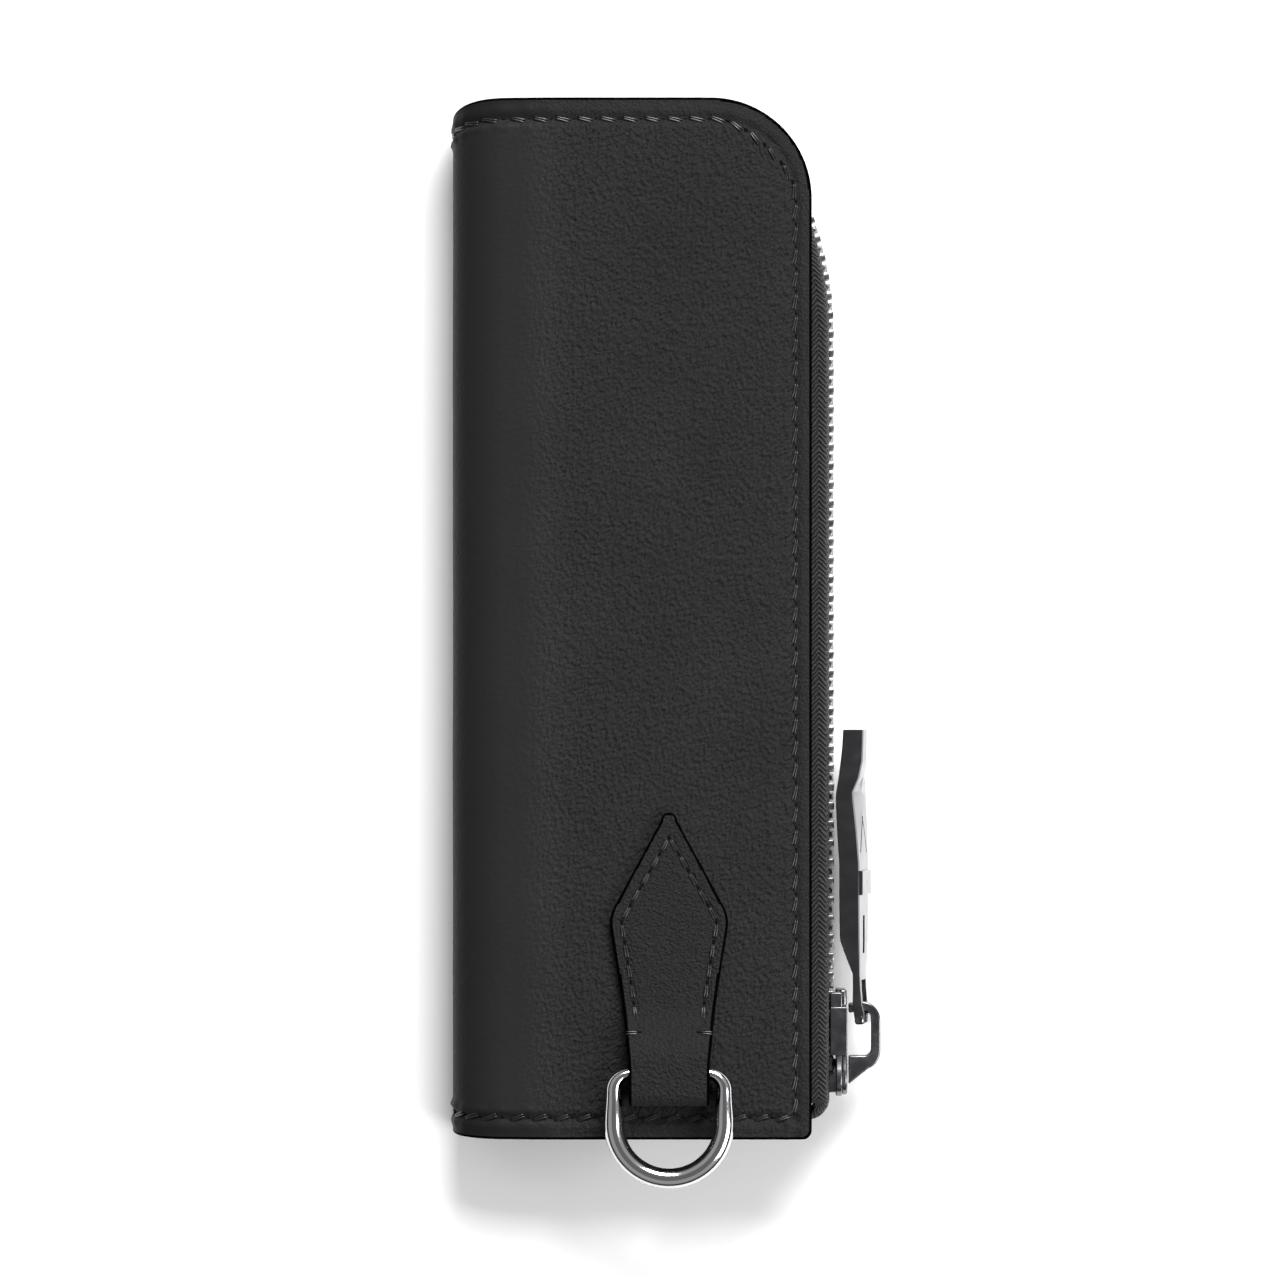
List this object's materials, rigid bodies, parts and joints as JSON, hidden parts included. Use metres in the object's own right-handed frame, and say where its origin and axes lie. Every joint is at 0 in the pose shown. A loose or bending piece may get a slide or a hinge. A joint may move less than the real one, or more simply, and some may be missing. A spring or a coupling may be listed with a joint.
{
  "type": "fountain pen case",
  "caption": "Slim folded leather pen case with a side zip, rounded top corner, long zip pull, and a D-ring on a sewn arrow-shaped tab.",
  "frame": {"origin": "centre of the back panel's flat face, which the case lies on", "axes": "+X from the folded spine to the zip, +Y along the length towards the rounded corner, +Z from the back to the front"},
  "size_m": [0.0681, 0.1725, 0.0239],
  "materials": {
    "calf": "smooth black calf, fine grain, semi-matt",
    "lining": "thin black skin, matt",
    "board": "bonded stiffening board, hidden",
    "tape": "woven herringbone tape",
    "teeth": "polished",
    "plated": "polished plating",
    "ring_metal": "polished plating",
    "thread": "waxed thread, slight gloss"
  },
  "bodies": {
    "case": {"leather_shell": "calf", "ring_tab": "calf", "end_wall_top": "calf", "end_wall_bottom": "calf", "lining": "lining", "front_board": "board", "back_board": "board", "zip_tape_front": "tape", "zip_tape_back": "tape", "zip_teeth_front": "teeth", "zip_teeth_back": "teeth", "zip_stop_front": "teeth", "zip_stop_back": "teeth", "zip_end_stop": "teeth", "seam_front_long": "thread", "seam_front_bottom": "thread", "seam_back_long": "thread", "seam_back_bottom": "thread", "seam_tab": "thread", "tack_left": "thread", "tack_right": "thread"},
    "slider": {"slider_body": "plated", "slider_crown": "plated"},
    "pull": {"pull_tab": "plated"},
    "ring": {"d_ring": "ring_metal"}
  },
  "joints": [
    {"name": "slider", "type": "slide", "parent": "case", "child": "slider", "axis": [0, 1, 0], "range_m": [0, 0.104], "deforming": ["zip_teeth_front", "zip_teeth_back"]},
    {"name": "pull", "type": "hinge", "parent": "slider", "child": "pull", "pos_m": [0.03675, -0.06375, 0.0095], "axis": [0, 0, -1], "range_deg": [0, 145]},
    {"name": "ring", "type": "hinge", "parent": "case", "child": "ring", "pos_m": [0.0059, -0.0719, 0.0216], "axis": [-1, 0, 0], "range_deg": [0, 165]}
  ]
}
